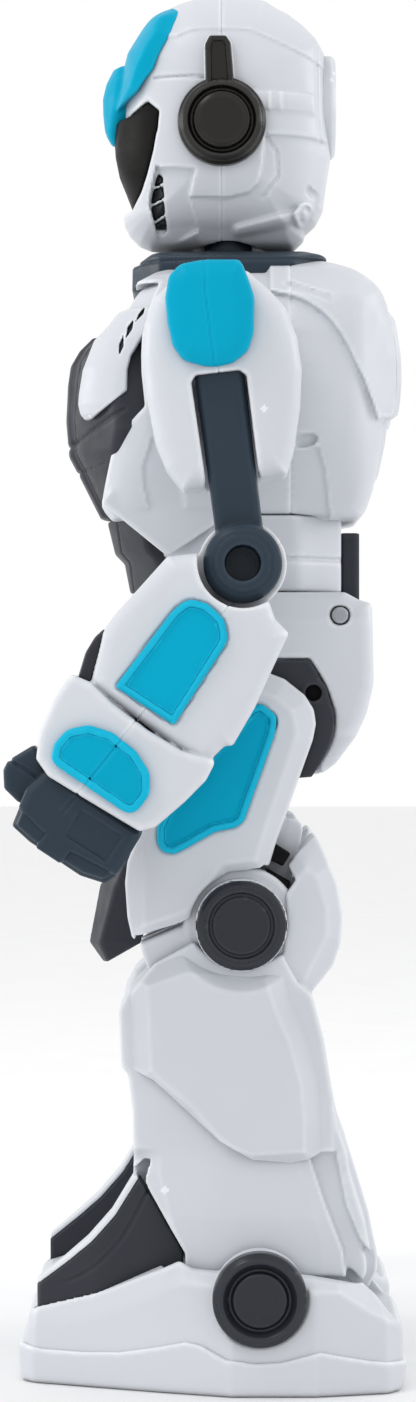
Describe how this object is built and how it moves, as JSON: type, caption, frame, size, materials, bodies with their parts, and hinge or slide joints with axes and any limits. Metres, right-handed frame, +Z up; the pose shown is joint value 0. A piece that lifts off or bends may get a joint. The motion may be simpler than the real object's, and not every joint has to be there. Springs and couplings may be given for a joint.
{
  "type": "walking humanoid robot",
  "caption": "Walking humanoid toy robot with a turning head, swinging jointed arms, hinged striding legs and broad flat feet with rollers.",
  "frame": {"origin": "on the floor, at the middle of the robot's footprint", "axes": "+Z up, the robot faces -Y, and its left side is at +X"},
  "size_m": [0.2164, 0.1123, 0.4011],
  "materials": {
    "white_shell": "satin cool-white moulded ABS",
    "teal_trim": "satin teal moulded ABS",
    "slate_plastic": "slate blue-grey moulded ABS with a fine grain",
    "dark_plastic": "neutral dark grey moulded ABS with a fine grain",
    "black_plastic": "black moulded ABS, lightly grained",
    "smoked_visor": "polished smoked plastic",
    "gear_motor": "natural grey gearbox housing with steel shafts",
    "circuit_board": "green solder-masked board",
    "battery_wrap": "plain wrapped dry cells",
    "roller_rubber": "black moulded rubber"
  },
  "bodies": {
    "torso": {"collar": "slate_plastic", "neck_post": "dark_plastic", "chest_shell": "white_shell", "back_shell": "white_shell", "chest_plate": "white_shell", "chest_core": "dark_plastic", "abdomen": "dark_plastic", "waist_band": "white_shell", "pelvis_shell": "white_shell", "hip_plates": "dark_plastic", "crotch_plate": "dark_plastic", "gear_motors": "gear_motor", "battery_cells": "battery_wrap", "battery_door": "white_shell", "control_board": "circuit_board"},
    "head": {"head_front": "white_shell", "head_rear": "white_shell", "visor": "smoked_visor", "crest": "teal_trim", "ear_cups": "black_plastic", "nape_disc": "white_shell"},
    "switch": {"power_switch": "black_plastic"},
    "arm_left": {"shoulder_cap_left": "teal_trim", "pauldron_front_left": "white_shell", "pauldron_rear_left": "white_shell", "arm_link_left": "slate_plastic"},
    "forearm_left": {"forearm_front_left": "white_shell", "forearm_rear_left": "white_shell", "forearm_panel_left": "teal_trim", "cuff_pad_left": "teal_trim", "hand_left": "slate_plastic"},
    "thigh_body_left": {"thigh_left": "white_shell", "thigh_panel_left": "teal_trim"},
    "shin_body_left": {"knee_hub_left": "white_shell", "shin_left": "white_shell", "calf_plate_left": "white_shell"},
    "foot_left": {"foot_shell_left": "white_shell", "sole_left": "white_shell", "toe_fin_left": "dark_plastic", "ankle_disc_left": "black_plastic"},
    "roller_body_left": {"roller_left": "roller_rubber"},
    "arm_right": {"shoulder_cap_right": "teal_trim", "pauldron_front_right": "white_shell", "pauldron_rear_right": "white_shell", "arm_link_right": "slate_plastic"},
    "forearm_right": {"forearm_front_right": "white_shell", "forearm_rear_right": "white_shell", "forearm_panel_right": "teal_trim", "cuff_pad_right": "teal_trim", "hand_right": "slate_plastic"},
    "thigh_body_right": {"thigh_right": "white_shell", "thigh_panel_right": "teal_trim"},
    "shin_body_right": {"knee_hub_right": "white_shell", "shin_right": "white_shell", "calf_plate_right": "white_shell"},
    "foot_right": {"foot_shell_right": "white_shell", "sole_right": "white_shell", "toe_fin_right": "dark_plastic", "ankle_disc_right": "black_plastic"},
    "roller_body_right": {"roller_right": "roller_rubber"}
  },
  "joints": [
    {"name": "neck_turn", "type": "hinge", "parent": "torso", "child": "head", "pos_m": [0, 0.006, 0.33], "axis": [0, 0, 1], "range_deg": [-60, 60]},
    {"name": "power_slide", "type": "slide", "parent": "torso", "child": "switch", "axis": [1, 0, 0], "range_m": [-0.0018, 0.0018]},
    {"name": "shoulder_left", "type": "hinge", "parent": "torso", "child": "arm_left", "pos_m": [0.07, 0.0005, 0.299], "axis": [-1, 0, 0], "range_deg": [-45, 150]},
    {"name": "elbow_left", "type": "hinge", "parent": "arm_left", "child": "forearm_left", "pos_m": [0.077, 0.0095, 0.231], "axis": [-1, 0, 0], "range_deg": [-35, 45]},
    {"name": "hip_left", "type": "hinge", "parent": "torso", "child": "thigh_body_left", "pos_m": [0.038, 0.0165, 0.1874], "axis": [-1, 0, 0], "range_deg": [-13, 13]},
    {"name": "knee_left", "type": "hinge", "parent": "thigh_body_left", "child": "shin_body_left", "pos_m": [0.038, 0.0094, 0.1303], "axis": [-1, 0, 0], "range_deg": [-6.5, 6.5]},
    {"name": "ankle_left", "type": "hinge", "parent": "shin_body_left", "child": "foot_left", "pos_m": [0.041, 0.0144, 0.0274], "axis": [-1, 0, 0], "range_deg": [-6.5, 6.5]},
    {"name": "roller_spin_left", "type": "hinge", "parent": "foot_left", "child": "roller_body_left", "pos_m": [0.035, -0.034, 0.006], "axis": [1, 0, 0], "continuous": true},
    {"name": "shoulder_right", "type": "hinge", "parent": "torso", "child": "arm_right", "pos_m": [-0.07, 0.0005, 0.299], "axis": [-1, 0, 0], "range_deg": [-45, 150]},
    {"name": "elbow_right", "type": "hinge", "parent": "arm_right", "child": "forearm_right", "pos_m": [-0.077, 0.0095, 0.231], "axis": [-1, 0, 0], "range_deg": [-35, 45]},
    {"name": "hip_right", "type": "hinge", "parent": "torso", "child": "thigh_body_right", "pos_m": [-0.038, 0.0165, 0.1874], "axis": [-1, 0, 0], "range_deg": [-13, 13]},
    {"name": "knee_right", "type": "hinge", "parent": "thigh_body_right", "child": "shin_body_right", "pos_m": [-0.038, 0.0094, 0.1303], "axis": [-1, 0, 0], "range_deg": [-6.5, 6.5]},
    {"name": "ankle_right", "type": "hinge", "parent": "shin_body_right", "child": "foot_right", "pos_m": [-0.041, 0.0144, 0.0274], "axis": [-1, 0, 0], "range_deg": [-6.5, 6.5]},
    {"name": "roller_spin_right", "type": "hinge", "parent": "foot_right", "child": "roller_body_right", "pos_m": [-0.035, -0.034, 0.006], "axis": [1, 0, 0], "continuous": true}
  ],
  "couplings": [
    {"joint": "hip_right", "follows": "hip_left", "ratio": -1},
    {"joint": "knee_left", "follows": "hip_left", "ratio": -0.5},
    {"joint": "ankle_left", "follows": "hip_left", "ratio": -0.5},
    {"joint": "knee_right", "follows": "hip_left", "ratio": 0.5},
    {"joint": "ankle_right", "follows": "hip_left", "ratio": 0.5}
  ]
}
